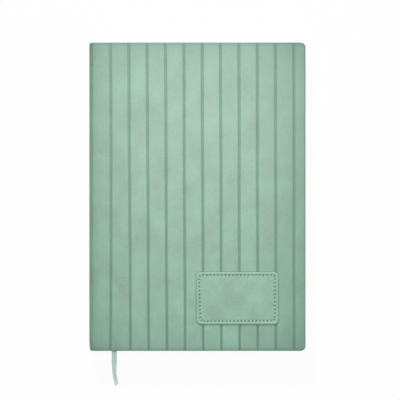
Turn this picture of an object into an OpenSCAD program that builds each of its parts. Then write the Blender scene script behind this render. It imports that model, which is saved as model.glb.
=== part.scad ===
// Soft-cover notebook with ribbed front, sewn blank patch and ribbon marker.
// It lies on its back cover. X runs from the spine to the fore-edge, Y from
// tail to head, and Z up through the pages.

/* [Cover] */
// Width of the closed notebook, spine to fore-edge
cover_w = 147.4; // [120:0.1:180]
// Height of the cover, tail to head
cover_h = 210; // [180:0.5:260]
// Thickness of the leather skin
leather_t = 0.7; // [0.5:0.05:1]
// Thickness of the card that stiffens the skin
card_t = 0.9; // [0.7:0.05:1.2]
// Radius of the two fore-edge corners of each cover
corner_r = 3.4; // [2:0.1:8]
// Radius of the bend from each cover into the spine
spine_r = 3.2; // [3:0.1:4.5]
// Width of the leather that is folded in over the card
turn_in = 12; // [6:0.5:18]
// Thickness of the folded-in leather, which is pared thin
turn_t = 0.35; // [0.2:0.05:0.5]
// Gap where a cover parts from the spine so that it can open
hinge_gap = 0.1; // [0.05:0.05:0.3]

/* [Grooves] */
// Number of grooves pressed into the front cover
groove_n = 11; // [0:1:11]
// Distance of the first groove from the spine edge
groove_start = 14.6; // [10:0.1:16]
// Distance from groove to groove
groove_pitch = 12.5; // [8:0.02:12.6]
// Width of a groove
groove_w = 1.9; // [0.8:0.1:3]
// Depth of a groove
groove_d = 0.3; // [0.1:0.05:0.4]

/* [Patch] */
// Width of the sewn patch
patch_w = 55.6; // [30:0.2:80]
// Height of the sewn patch
patch_h = 35.4; // [20:0.2:60]
// Thickness of the sewn patch
patch_t = 0.9; // [0.7:0.05:1.5]
// Corner radius of the patch
patch_r = 3; // [1.5:0.1:6]
// Radius of the rounded rim of the patch
patch_rim = 0.5; // [0.2:0.05:0.6]
// Distance of the patch from the fore-edge
patch_from_fore = 18.6; // [10:0.1:40]
// Distance of the patch from the tail edge
patch_from_tail = 18.3; // [10:0.1:60]

/* [Stitching] */
// Distance of the seam from the edge of the patch
seam_inset = 2; // [1.3:0.1:4]
// Length of one stitch and the gap after it
stitch_pitch = 2.6; // [2:0.1:4]
// Thickness of the sewing thread
thread_d = 0.6; // [0.3:0.05:0.8]
// Share of the pitch that shows as thread
stitch_share = 0.62; // [0.4:0.02:0.7]
// Width of the trough that the seam pulls into the patch
seam_trough_w = 1.3; // [0.9:0.1:2]
// Depth of the trough
seam_trough_d = 0.2; // [0.1:0.05:0.3]
// Radius of a needle hole
needle_r = 0.42; // [0.2:0.02:0.5]
// Depth of a needle hole below the trough
needle_depth = 0.35; // [0.1:0.05:0.4]

/* [Pages] */
// Number of leaves
leaf_n = 100; // [60:1:160]
// Thickness of one leaf
leaf_t = 0.1; // [0.08:0.01:0.12]
// How far the covers stand past the pages at head, tail and fore-edge
overhang = 2; // [1:0.1:4]
// Corner radius of the pages at the fore-edge
page_r = 3; // [1:0.1:6]
// Rounding of the page block along the spine
page_spine_r = 1.2; // [0.6:0.1:1.4]
// Thickness of the endpapers
endpaper_t = 0.15; // [0.1:0.05:0.25]
// Free space between an endpaper and the pasted sheet
endpaper_gap = 0.1; // [0.05:0.05:0.3]
// Border of leather left showing round the pasted sheet
pasted_inset = 3; // [1:0.5:8]
// Thickness of the lining glued to the spine of the pages
lining_t = 0.3; // [0.2:0.05:0.5]
// Hollow between the lining and the cover's spine
hollow = 0.5; // [0.4:0.05:1]

/* [Ribbon] */
// Width of the ribbon marker
ribbon_w = 3.5; // [2:0.1:6]
// Thickness of the ribbon marker
ribbon_t = 0.25; // [0.15:0.05:0.3]
// Free space round the ribbon where it lies between the leaves
ribbon_gap = 0.2; // [0.1:0.05:0.4]

/* [Hidden] */

$fn = 64;
eps = 0.5;

shell_t = leather_t + card_t;
pages_t = leaf_n * leaf_t;
page_z = shell_t + endpaper_t + endpaper_gap + endpaper_t;
book_t = pages_t + 2 * page_z;
x_spine = -cover_w / 2;
x_fore = cover_w / 2;
x_bend = x_spine + spine_r;
page_x0 = x_spine + shell_t + hollow + lining_t;
page_x1 = x_fore - overhang;
page_h = cover_h - 2 * overhang;
mid_z = book_t / 2;

patch_x = x_fore - patch_from_fore - patch_w / 2;
patch_y = -cover_h / 2 + patch_from_tail + patch_h / 2;
seam_z = book_t + patch_t - seam_trough_d;
seam_w = patch_w - 2 * seam_inset;
seam_h = patch_h - 2 * seam_inset;
seam_nx = round(seam_w / stitch_pitch);
seam_ny = round(seam_h / stitch_pitch);

page_colour = [0.93, 0.91, 0.85];
leather_colour = [0.62, 0.73, 0.67];
patch_colour = [0.59, 0.71, 0.65];
card_colour = [0.72, 0.68, 0.60];
endpaper_colour = [0.95, 0.93, 0.88];
ribbon_colour = [0.70, 0.80, 0.79];
thread_colour = [0.66, 0.77, 0.71];

// Route of the ribbon, glued at the spine, folded once over the head, laid
// between the leaves and out at the tail, where it drops to the table. Each
// entry holds a point, the direction across the ribbon with its length as a
// share of half the width, and the direction that its upper face looks in.
ribbon_route = [
    [[-71.76, 80, 9.25], [0, 0, 1], [-1, 0, 0]],
    [[-71.76, 102.6, 9.25], [0, 0, 1], [-1, 0, 0]],
    [[-71.72, 103.13, 9.25], [0, 0, 1], [-0.7, 0.7, 0]],
    [[-71.3, 103.22, 9.25], [0, 0, 1], [0, 1, 0]],
    [[-70.0, 103.16, 9.25], [0, 0, 1], [0, 1, 0]],
    [[-68.0, 103.16, 9.25], [-1, 0, 1], [0, 1, 0]],
    [[-67.9, 103.36, 9.35], [-1, 0, 1], [0.7, 0, 0.7]],
    [[-68.0, 103.56, 9.25], [-1, 0, 1], [0, -1, 0]],
    [[-68.0, 103.56, 7.4], [-1, 0, 0], [0, -1, 0]],
    [[-68.0, 103.4, 7.1], [-1, 0, 0], [0, -0.7, 0.7]],
    [[-68.0, 103.1, 7.0], [-1, 0, 0], [0, 0, 1]],
    [[-67.0, 85, 7.0], [-1, 0, 0], [0, 0, 1]],
    [[-65.2, 50, 7.0], [-1, 0, 0], [0, 0, 1]],
    [[-63.3, 15, 7.0], [-1, 0, 0], [0, 0, 1]],
    [[-61.4, -20, 7.0], [-1, 0, 0], [0, 0, 1]],
    [[-59.5, -55, 7.0], [-1, 0, 0], [0, 0, 1]],
    [[-57.6, -90, 7.0], [-1, 0, 0], [0, 0, 1]],
    [[-56.9, -103.5, 6.95], [-1, 0, 0], [0, 0, 1]],
    [[-56.9, -106, 6.6], [-0.99, 0, 0.1], [0.1, -0.3, 0.95]],
    [[-56.9, -108.5, 5.8], [-0.97, 0, 0.24], [0.23, -0.4, 0.9]],
    [[-57.0, -111, 4.7], [-0.93, 0, 0.36], [0.35, -0.4, 0.85]],
    [[-57.1, -113.5, 3.6], [-0.87, 0, 0.5], [0.48, -0.35, 0.8]],
    [[-57.2, -116, 2.8], [-0.78, 0, 0.62], [0.6, -0.25, 0.75]],
    [[-57.2, -118.5, 2.2], [-0.7, 0, 0.71], [0.71, -0.15, 0.7]],
    [[-57.1, -121, 1.9], [-0.64, 0, 0.77], [0.77, -0.1, 0.64]],
    [[-56.8, -123.5, 1.7], [-0.6, 0, 0.8], [0.8, 0, 0.6]],
    [[-56.4, -126, 1.6], [-0.6, 0, 0.8], [0.8, 0, 0.6]],
    [[-55.6, -129.5, 1.6], [-0.6, -0.4, 0.8], [0.8, 0, 0.6]]
];

// Cross-section of the cover shell along its length, a bar with round ends.
module shell_section() {
    straight = cover_h / 2 - shell_t / 2;
    translate([0, -straight]) square([shell_t, 2 * straight]);
    for (s = [-1, 1]) translate([shell_t / 2, s * straight]) circle(d = shell_t);
}

// Cross-section of the stiffening card: full height between the folded-in
// leather and thinner beneath it. X = 0 is the inner face. The grow value
// lengthens it past the inner face where it serves as a cutter.
module card_section(grow = 0) {
    wide = cover_h / 2 - leather_t;
    narrow = cover_h / 2 - turn_in;
    translate([turn_t, -wide]) square([card_t - turn_t, 2 * wide]);
    translate([-grow, -narrow]) square([card_t + grow, 2 * narrow]);
}

// Rounded fore-edge of the shell, seen from the tail: X outwards, Y up.
module fore_section() {
    flat = corner_r - shell_t / 2;
    square([flat, shell_t]);
    intersection() {
        translate([flat, shell_t / 2]) circle(d = shell_t);
        translate([flat, 0]) square([shell_t, shell_t]);
    }
}

// Outline in plan with a square spine side and rounded fore-edge corners.
module fore_round_outline(x0, x1, h, r) {
    translate([x0, -h / 2]) square([x1 - r - x0, h]);
    translate([x1 - r - eps, -h / 2 + r]) square([r + eps, h - 2 * r]);
    for (s = [-1, 1]) translate([x1 - r, s * (h / 2 - r)]) circle(r = r);
}

// Solid of one cover, from the parting line in the spine bend to the
// fore-edge. Its inner face lies at Z = 0 and its outer face at shell_t.
module cover_body() {
    corner_x = x_fore - corner_r;
    corner_y = cover_h / 2 - corner_r;
    translate([x_bend, 0, 0])
        rotate([0, -90, 180]) mirror([0, 1, 0])
            linear_extrude(corner_x - x_bend) shell_section();
    bend_turn() shell_section();
    translate([corner_x, corner_y, 0])
        rotate([90, 0, 0]) linear_extrude(2 * corner_y) fore_section();
    for (s = [0, 1]) mirror([0, s, 0])
        translate([corner_x, corner_y, 0]) rotate_extrude(angle = 90) fore_section();
}

// Carries a section round the spine bend. The section's X runs outwards from
// the inner face and its Y along the spine.
module bend_turn(extra = 0) {
    translate([x_bend, 0, shell_t - spine_r])
        rotate([90, 0, 0])
            rotate([0, 0, 90])
                rotate_extrude(angle = 90 + extra)
                    translate([spine_r - shell_t, 0]) children();
}

// Stiffening card of one cover. With a grow value it is the cutter that
// hollows the leather.
module cover_card(grow = 0) {
    translate([x_bend, 0, 0])
        translate([0, 0, -grow])
            linear_extrude(card_t + grow)
                translate([0, -cover_h / 2 + turn_in])
                    square([x_fore - turn_in - x_bend, cover_h - 2 * turn_in]);
    translate([0, 0, turn_t])
        linear_extrude(card_t - turn_t)
            fore_round_outline(
                x_bend, x_fore - leather_t, cover_h - 2 * leather_t, corner_r - leather_t
            );
    bend_turn(grow > 0 ? 5 : 0) card_section(grow);
}

// Takes away what lies below the parting line of the spine bend.
module above_parting() {
    drop = shell_t - spine_r + hinge_gap / 2;
    difference() {
        children();
        translate([x_spine - eps, -cover_h, drop - spine_r])
            cube([spine_r + 2 * eps, 2 * cover_h, spine_r]);
    }
}

module cover_leather() {
    above_parting() difference() {
        cover_body();
        cover_card(eps);
    }
}

// Places a cover part, made with its inner face at Z = 0, on the front.
module on_front() {
    translate([0, 0, book_t - shell_t]) children();
}

// Places a cover part on the back, face down.
module on_back() {
    translate([0, 0, shell_t]) mirror([0, 0, 1]) children();
}

// Round-bottomed grooves, cut from above with a long cylinder each.
module groove_cutters() {
    r = (groove_w * groove_w / 4 + groove_d * groove_d) / (2 * groove_d);
    for (i = [0 : 1 : groove_n - 1])
        translate([x_spine + groove_start + i * groove_pitch, 0, book_t - groove_d + r])
            rotate([90, 0, 0]) cylinder(r = r, h = cover_h + 2 * eps, center = true);
}

module front_cover_leather() {
    color(leather_colour) difference() {
        on_front() cover_leather();
        groove_cutters();
    }
}

module front_card() {
    color(card_colour) on_front() above_parting() cover_card();
}

module back_cover_leather() {
    color(leather_colour) on_back() cover_leather();
}

module back_card() {
    color(card_colour) on_back() above_parting() cover_card();
}

// Upright strip of the shell between the two parting lines.
module spine_strip(section_grow = 0) {
    h = book_t - 2 * spine_r - hinge_gap;
    translate([x_spine + shell_t, 0, spine_r + hinge_gap / 2 - section_grow])
        mirror([1, 0, 0]) linear_extrude(h + 2 * section_grow) children();
}

module spine_leather() {
    color(leather_colour) difference() {
        spine_strip() shell_section();
        spine_strip(eps) card_section(eps);
    }
}

module spine_card() {
    color(card_colour) spine_strip() card_section();
}

// Lining of cloth and paper glued down the spine of the pages.
module spine_lining() {
    flat = pages_t - 2 * page_spine_r;
    color(endpaper_colour)
        translate([page_x0 - lining_t, -page_h / 2, mid_z - flat / 2])
            cube([lining_t, page_h, flat]);
}

module page_outline() {
    fore_round_outline(page_x0, page_x1, page_h, page_r);
}

// Section of the pages from spine to fore-edge, rounded along the spine.
module page_section() {
    translate([page_spine_r, 0]) square([page_x1 - page_x0 - page_spine_r, pages_t]);
    translate([0, page_spine_r]) square([page_spine_r + eps, pages_t - 2 * page_spine_r]);
    for (y = [page_spine_r, pages_t - page_spine_r])
        translate([page_spine_r, y]) circle(r = page_spine_r);
}

// Thin slanting room that the ribbon takes up between two leaves.
module ribbon_room() {
    half = ribbon_w / 2 + ribbon_gap;
    first = ribbon_route[10][0];
    last = ribbon_route[17][0];
    end_y = page_h / 2 + eps;
    translate([0, 0, mid_z - ribbon_t / 2 - ribbon_gap / 2])
        linear_extrude(ribbon_t + ribbon_gap)
            polygon([
                [first[0] - half, end_y],
                [first[0] + half, end_y],
                [last[0] + half, -end_y],
                [last[0] - half, -end_y]
            ]);
}

module page_block() {
    color(page_colour) difference() {
        intersection() {
            translate([page_x0, page_h / 2, page_z])
                rotate([90, 0, 0]) linear_extrude(page_h) page_section();
            translate([0, 0, page_z - eps])
                linear_extrude(pages_t + 2 * eps) page_outline();
        }
        ribbon_room();
    }
}

// Loose half of an endpaper, tipped on to the pages beside the spine.
module flyleaf() {
    linear_extrude(endpaper_t)
        fore_round_outline(page_x0 + page_spine_r, page_x1, page_h, page_r);
}

module front_flyleaf() {
    color(endpaper_colour) translate([0, 0, page_z + pages_t]) flyleaf();
}

module back_flyleaf() {
    color(endpaper_colour) translate([0, 0, page_z - endpaper_t]) flyleaf();
}

// Pasted half of an endpaper, inside the leather border of a cover.
module pastedown() {
    linear_extrude(endpaper_t)
        fore_round_outline(
            x_bend, x_fore - pasted_inset, cover_h - 2 * pasted_inset, page_r / 2
        );
}

module front_pastedown() {
    color(endpaper_colour) translate([0, 0, book_t - shell_t - endpaper_t]) pastedown();
}

module back_pastedown() {
    color(endpaper_colour) translate([0, 0, shell_t]) pastedown();
}

// Section of the patch's rim: X outwards, Y up, with a quarter-round top.
module rim_section(width) {
    square([width - patch_rim, patch_t]);
    square([width, patch_t - patch_rim]);
    translate([width - patch_rim, patch_t - patch_rim]) intersection() {
        circle(r = patch_rim);
        square(patch_rim);
    }
}

// Plate with rounded corners and a rounded rim, centred in plan.
module rimmed_plate(w, h, r) {
    dx = w / 2 - r;
    dy = h / 2 - r;
    linear_extrude(patch_t) square([2 * dx, 2 * dy], center = true);
    for (a = [0, 180]) rotate([0, 0, a]) {
        translate([dx, dy, 0]) rotate([90, 0, 0]) linear_extrude(2 * dy) rim_section(r);
        translate([-dx, dy, 0]) rotate([90, 0, 90]) linear_extrude(2 * dx) rim_section(r);
        translate([dx, dy, 0]) rotate_extrude(angle = 90) rim_section(r);
        translate([-dx, dy, 0]) rotate([0, 0, 90]) rotate_extrude(angle = 90) rim_section(r);
    }
}

module rounded_rect(w, h, r) {
    square([w, h - 2 * r], center = true);
    square([w - 2 * r, h], center = true);
    for (sx = [-1, 1], sy = [-1, 1])
        translate([sx * (w / 2 - r), sy * (h / 2 - r)]) circle(r = r);
}

// Shallow trough that the seam pulls into the patch.
module seam_trough() {
    half = seam_trough_w / 2;
    r = max(patch_r - seam_inset, half + 0.1);
    translate([patch_x, patch_y, seam_z]) linear_extrude(seam_trough_d + eps) difference() {
        rounded_rect(seam_w + 2 * half, seam_h + 2 * half, r + half);
        rounded_rect(seam_w - 2 * half, seam_h - 2 * half, r - half);
    }
}

// Places children at count even steps along one side of the seam, from
// start to end. With mid = 0.5 they lie between the steps.
module along_side(start, end, count, mid = 0) {
    step = (end - start) / count;
    turn = atan2(step[1], step[0]);
    for (i = [0 : 1 : count - 1])
        translate([patch_x, patch_y, seam_z] + concat(start + (i + mid) * step, 0))
            rotate([0, 0, turn]) children();
}

// Runs children round the four sides of the seam.
module round_seam(mid = 0) {
    a = seam_w / 2;
    b = seam_h / 2;
    along_side([-a, -b], [a, -b], seam_nx, mid) children();
    along_side([a, -b], [a, b], seam_ny, mid) children();
    along_side([a, b], [-a, b], seam_nx, mid) children();
    along_side([-a, b], [-a, -b], seam_ny, mid) children();
}

module label_patch() {
    color(patch_colour) difference() {
        translate([patch_x, patch_y, book_t]) rimmed_plate(patch_w, patch_h, patch_r);
        seam_trough();
        round_seam() translate([0, 0, -needle_depth])
            cylinder(r = needle_r, h = needle_depth + eps, $fn = 24);
    }
}

// One visible stitch: a half-round length of thread with rounded ends, flat
// on the trough. Its profile is turned half a turn about its own axis.
module stitch(len) {
    r = thread_d / 2;
    rotate([0, 90, 0]) rotate([0, 0, 90]) rotate_extrude(angle = 180, $fn = 24) {
        translate([0, r - len / 2]) square([r, len - 2 * r]);
        for (s = [-1, 1]) translate([0, s * (len / 2 - r)]) intersection() {
            circle(r = r);
            translate([0, -r]) square([r, 2 * r]);
        }
    }
}

module label_thread() {
    color(thread_colour) round_seam(0.5) stitch(stitch_pitch * stitch_share);
}

// Thin strip with a four-cornered section, carried along the ribbon's route.
module bookmark_ribbon() {
    n = len(ribbon_route);
    half = [for (p = ribbon_route) p[1] * ribbon_w / 2];
    lift = [for (p = ribbon_route) p[2] * ribbon_t / 2 / norm(p[2])];
    corners = [
        for (i = [0 : n - 1], c = [[-1, -1], [1, -1], [1, 1], [-1, 1]])
            ribbon_route[i][0] + c[0] * half[i] + c[1] * lift[i]
    ];
    sides = [
        for (i = [0 : n - 2], k = [0 : 3], t = [0, 1])
            let (a = 4 * i + k, b = 4 * i + (k + 1) % 4)
                t == 0 ? [a, b, b + 4] : [a, b + 4, a + 4]
    ];
    last = 4 * (n - 1);
    ends = [[0, 2, 1], [0, 3, 2], [last, last + 1, last + 2], [last, last + 2, last + 3]];
    color(ribbon_colour) polyhedron(points = corners, faces = concat(sides, ends));
}

back_cover_leather();
back_card();
back_pastedown();
back_flyleaf();
page_block();
spine_lining();
front_flyleaf();
spine_card();
spine_leather();
front_pastedown();
front_card();
front_cover_leather();
label_patch();
label_thread();
bookmark_ribbon();
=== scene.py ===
# %% [markdown]
# # A soft-cover notebook, dressed for its picture
#
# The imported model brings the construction: covers, cards, leaves, patch and thread at their real sizes.
# This script gives every piece its finish. It works in metres, in the frame of the model: X runs from
# the spine to the fore-edge, Y from tail to head, and Z up from the table through the pages.

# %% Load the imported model
import math

import bpy
import numpy as np
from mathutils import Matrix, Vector


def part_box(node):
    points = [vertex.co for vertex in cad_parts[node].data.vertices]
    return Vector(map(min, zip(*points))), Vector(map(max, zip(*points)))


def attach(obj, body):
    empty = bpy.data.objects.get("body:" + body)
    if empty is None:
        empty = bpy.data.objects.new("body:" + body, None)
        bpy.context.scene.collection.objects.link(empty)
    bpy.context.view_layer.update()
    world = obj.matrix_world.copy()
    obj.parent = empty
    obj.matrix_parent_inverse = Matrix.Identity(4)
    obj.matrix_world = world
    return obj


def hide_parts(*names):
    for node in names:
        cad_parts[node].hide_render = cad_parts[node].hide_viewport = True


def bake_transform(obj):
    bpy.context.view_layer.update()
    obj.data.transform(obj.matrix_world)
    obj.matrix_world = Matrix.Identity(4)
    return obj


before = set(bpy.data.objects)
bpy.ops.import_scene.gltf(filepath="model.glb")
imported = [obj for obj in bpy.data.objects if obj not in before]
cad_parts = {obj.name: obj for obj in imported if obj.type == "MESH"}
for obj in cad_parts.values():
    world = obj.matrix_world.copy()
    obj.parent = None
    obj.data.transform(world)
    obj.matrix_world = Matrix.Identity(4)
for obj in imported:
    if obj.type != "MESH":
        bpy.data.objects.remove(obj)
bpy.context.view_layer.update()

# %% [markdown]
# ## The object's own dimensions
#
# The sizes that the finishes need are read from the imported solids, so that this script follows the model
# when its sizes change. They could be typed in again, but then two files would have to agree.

MM = 0.001


def corners(node):
    """Lowest and highest corner of a node at rest, as two arrays."""
    low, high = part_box(node)
    return np.array(low), np.array(high)


skin_low, skin_high = corners("front_cover_leather")
card_high = corners("front_card")[1]
paste_low, paste_high = corners("front_pastedown")
leaf_low, leaf_high = corners("page_block")
patch_low, patch_high = corners("label_patch")

X_SPINE, X_FORE = skin_low[0], skin_high[0]
HALF_H = skin_high[1]
TOP = skin_high[2]
MID = TOP / 2
SHELL_T = TOP - paste_high[2]
LEATHER_T = TOP - card_high[2]
X_BEND = paste_low[0]
BEND_R = X_BEND - X_SPINE
CORNER_R = 3.4 * MM
TURN_IN = 12 * MM
TURN_T = 0.35 * MM
print("cover %.1f x %.1f mm, %.1f mm thick" % tuple(v / MM for v in (X_FORE - X_SPINE, 2 * HALF_H, TOP)))
print("shell %.2f mm, leather %.2f mm, bend radius %.2f mm" % (SHELL_T / MM, LEATHER_T / MM, BEND_R / MM))

# %% [markdown]
# ## The camera
#
# The notebook is seen from straight above, so the camera looks down the Z axis. A long lens held about a
# metre away keeps the sides of the book out of sight, as they are in the picture. Its distance follows
# from the width that the picture covers at the height of the cover.

# %% The camera
VIEW_WIDTH = 272.2 * MM
VIEW_X, VIEW_Y = 1.84 * MM, -2.25 * MM
LENS, SENSOR = 135.0, 36.0

camera_data = bpy.data.cameras.new("camera")
camera_data.type = "PERSP"
camera_data.lens, camera_data.sensor_width = LENS, SENSOR
camera = bpy.data.objects.new("camera", camera_data)
camera.location = (VIEW_X, VIEW_Y, TOP + VIEW_WIDTH * LENS / SENSOR)
bpy.context.scene.collection.objects.link(camera)
bpy.context.scene.camera = camera
bpy.context.scene.view_settings.view_transform = "Standard"
print("camera %.3f m above the cover" % (camera.location.z - TOP))

# %% [markdown]
# ## From arrays to meshes
#
# Every new piece is a surface worked out with numpy. A grid of vertex numbers gives its faces: each
# number and its neighbours along the row and the column make one quad. When the grids of a piece share
# the numbers along their edges, the piece closes into one watertight skin.

# %% Grids, faces and meshes
def quads(index):
    """Quads of a grid of vertex numbers: each cell joins a number with its next row and next column."""
    a, b = index[:-1, :-1], index[1:, :-1]
    c, d = index[1:, 1:], index[:-1, 1:]
    return np.stack([a, b, c, d], -1).reshape(-1, 4)


def closed(index):
    """The grid with its first column once more as its last, so that its quads close round."""
    return np.concatenate([index, index[:, :1]], 1)


def make_piece(name, points, faces, caps=(), smooth=True):
    """A mesh object from points, quads and many-sided caps, turned so that its volume is positive."""
    tris = np.concatenate([faces[:, [0, 1, 2]], faces[:, [0, 2, 3]]])
    for cap in caps:
        fan = np.stack([np.full(len(cap) - 2, cap[0]), cap[1:-1], cap[2:]], -1)
        tris = np.concatenate([tris, fan])
    volume = np.einsum("ij,ij->i", points[tris[:, 0]], np.cross(points[tris[:, 1]], points[tris[:, 2]]))
    if volume.sum() < 0:
        faces, caps = faces[:, ::-1], [cap[::-1] for cap in caps]
    loops = np.concatenate([faces.ravel()] + [np.asarray(cap) for cap in caps])
    sizes = np.array([4] * len(faces) + [len(cap) for cap in caps])
    mesh = bpy.data.meshes.new(name)
    mesh.vertices.add(len(points))
    mesh.vertices.foreach_set("co", points.astype(np.float32).ravel())
    mesh.loops.add(len(loops))
    mesh.loops.foreach_set("vertex_index", loops.astype(np.int32))
    mesh.polygons.add(len(sizes))
    mesh.polygons.foreach_set("loop_start", (np.cumsum(sizes) - sizes).astype(np.int32))
    mesh.polygons.foreach_set("loop_total", sizes.astype(np.int32))
    mesh.polygons.foreach_set("use_smooth", np.full(len(sizes), smooth))
    mesh.update(calc_edges=True)
    mesh.validate()
    piece = bpy.data.objects.new(name, mesh)
    bpy.context.scene.collection.objects.link(piece)
    print("%s: %d points, %d faces, %.2f cm3" % (name, len(points), len(sizes), abs(volume.sum()) / 6e-6))
    return piece


def smoothstep(low, high, x):
    """0 below low, 1 above high, and 3t^2 - 2t^3 between them."""
    t = np.clip((x - low) / (high - low), 0, 1)
    return t * t * (3 - 2 * t)


# %% [markdown]
# ## The ribbon marker
#
# A woven ribbon 3.5 mm wide is glued to the spine of the pages at the head, folds over, lies between the
# leaves and hangs out at the tail, where it drops to the table and turns on its edge. It is the one free
# cord-like piece, so it is made first. It could be a flat curve, but a ribbon needs its own twist, so it
# is a section of 20 points carried along the route, which has the points of the model.

# %% The route of the ribbon
RIBBON_W, RIBBON_T = 3.5 * MM, 0.25 * MM

# Each entry holds a point in millimetres, the direction across the ribbon with its length as a share of
# half the width, and the direction that the upper face looks in.
UP, LEFT = [0, 0, 1], [-1, 0, 0]
RIBBON_ROUTE = [
    [[-71.76, 80, 9.25], UP, LEFT],
    [[-71.76, 102.6, 9.25], UP, LEFT],
    [[-71.72, 103.13, 9.25], UP, [-0.7, 0.7, 0]],
    [[-71.3, 103.22, 9.25], UP, [0, 1, 0]],
    [[-70.0, 103.16, 9.25], UP, [0, 1, 0]],
    [[-68.0, 103.16, 9.25], [-1, 0, 1], [0, 1, 0]],
    [[-67.9, 103.36, 9.35], [-1, 0, 1], [0.7, 0, 0.7]],
    [[-68.0, 103.56, 9.25], [-1, 0, 1], [0, -1, 0]],
    [[-68.0, 103.56, 7.4], LEFT, [0, -1, 0]],
    [[-68.0, 103.4, 7.1], LEFT, [0, -0.7, 0.7]],
    [[-68.0, 103.1, 7.0], LEFT, UP],
    [[-67.0, 85, 7.0], LEFT, UP],
    [[-65.2, 50, 7.0], LEFT, UP],
    [[-63.3, 15, 7.0], LEFT, UP],
    [[-61.4, -20, 7.0], LEFT, UP],
    [[-59.5, -55, 7.0], LEFT, UP],
    [[-57.6, -90, 7.0], LEFT, UP],
    [[-56.9, -103.5, 6.95], LEFT, UP],
    [[-56.9, -106, 6.6], [-1, 0, 0.09], [0.09, -0.3, 0.95]],
    [[-56.9, -108.5, 5.8], [-0.98, 0, 0.18], [0.18, -0.4, 0.92]],
    [[-57.0, -111, 4.7], [-0.96, 0, 0.28], [0.28, -0.4, 0.89]],
    [[-57.1, -113.5, 3.6], [-0.92, 0, 0.4], [0.4, -0.35, 0.86]],
    [[-57.2, -116, 2.8], [-0.84, 0, 0.54], [0.53, -0.25, 0.81]],
    [[-57.2, -118.5, 2.2], [-0.77, 0, 0.64], [0.63, -0.15, 0.76]],
    [[-57.1, -121, 1.9], [-0.73, 0, 0.68], [0.68, -0.1, 0.73]],
    [[-56.8, -123.5, 1.7], [-0.69, 0, 0.72], [0.72, 0, 0.69]],
    [[-56.4, -126, 1.6], [-0.65, 0, 0.76], [0.76, 0, 0.65]],
    [[-55.6, -129.5, 1.6], [-0.58, -0.4, 0.78], [0.78, 0, 0.62]],
]
TAIL_START = 17
STRAIGHT_STEPS, TAIL_STEPS = 6, 10
route = np.array(RIBBON_ROUTE)
route[:, 0] *= MM


def catmull_rom(values, steps):
    """Smooth curve through the rows of values: cubic pieces whose slope at a row is half the way
    between its two neighbours, with steps pieces from row to row."""
    padded = np.concatenate([values[:1], values, values[-1:]])
    t = np.linspace(0, 1, steps, endpoint=False).reshape(-1, 1)
    a, b, c, d = padded[:-3, None], padded[1:-2, None], padded[2:-1, None], padded[3:, None]
    square_part, cube_part = 2 * a - 5 * b + 4 * c - d, 3 * b - a - 3 * c + d
    curve = 0.5 * (2 * b + (c - a) * t + square_part * t**2 + cube_part * t**3)
    return np.concatenate([curve.reshape(-1, values.shape[1]), values[-1:]])


flat_route = route.reshape(len(route), 9)
rows = np.arange(len(route))
steps = np.linspace(0, TAIL_START, TAIL_START * STRAIGHT_STEPS + 1)[:-1]
straight = np.stack([np.interp(steps, rows, column) for column in flat_route.T], -1)
rings = np.concatenate([straight, catmull_rom(flat_route[TAIL_START:], TAIL_STEPS)])
ribbon_line = rings[:, :3]
ribbon_run = np.concatenate([[0], np.cumsum(np.linalg.norm(np.diff(ribbon_line, axis=0), axis=1))])

# %% The ribbon's surface
ACROSS = np.linspace(-1, 1, 10)


def ribbon_surface(rings):
    """Point = line + across * half width * u + up * half thickness * edge(u). Here edge(u) is
    0.8 + 0.2 u^4, which swells towards the woven edges, and 0.5 at u = -1 and 1, where they close."""
    line, across, up = rings[:, :3], rings[:, 3:6], rings[:, 6:9]
    up = up / np.linalg.norm(up, axis=1, keepdims=True)
    edge = np.where(np.abs(ACROSS) > 0.99, 0.5, 0.8 + 0.2 * np.abs(ACROSS) ** 4)
    middle = line[:, None] + across[:, None] * (RIBBON_W / 2) * ACROSS[:, None]
    rise = up[:, None] * (RIBBON_T / 2) * edge[:, None]
    return np.concatenate([middle + rise, (middle - rise)[:, ::-1]], 1)


section = ribbon_surface(rings)
n_rings, n_section = section.shape[:2]
ribbon_index = closed(np.arange(n_rings * n_section).reshape(n_rings, n_section))
ribbon_caps = [ribbon_index[0, :-1], ribbon_index[-1, -2::-1]]
ribbon = make_piece("bookmark_ribbon_woven", section.reshape(-1, 3), quads(ribbon_index), ribbon_caps)

uv_across = np.concatenate([ACROSS, ACROSS[::-1]])[None, :] * RIBBON_W / 2
uv_points = np.stack(np.broadcast_arrays(uv_across, ribbon_run[:, None]), -1).reshape(-1, 2)
loop_vertex = np.empty(len(ribbon.data.loops), np.int32)
ribbon.data.loops.foreach_get("vertex_index", loop_vertex)
weave_map = ribbon.data.uv_layers.new(name="weave")
weave_map.data.foreach_set("uv", uv_points[loop_vertex].astype(np.float32).ravel())

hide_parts("bookmark_ribbon")
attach(ribbon, "book_block")

# %% [markdown]
# ## The leather wrap
#
# On the real notebook one sheet of soft leather-like cloth runs from the front over the spine to the
# back, and is folded in over a card along the head, the tail and the fore-edges. It is made here as it is
# worked on the bench: laid out flat with its folds, and then carried round the spine. Flat, it is a
# face with a rolled edge on three sides; a second function bends it over the spine. A front and a back
# half meet in the middle of the spine, one for each cover.

# %% The sheet carried round the spine
ROLL_R = SHELL_T / 2
BEND_RUN = BEND_R * math.pi / 2
S_PARTING = X_BEND - BEND_RUN
S_MIDDLE = S_PARTING - (TOP - BEND_R - MID)


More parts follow.
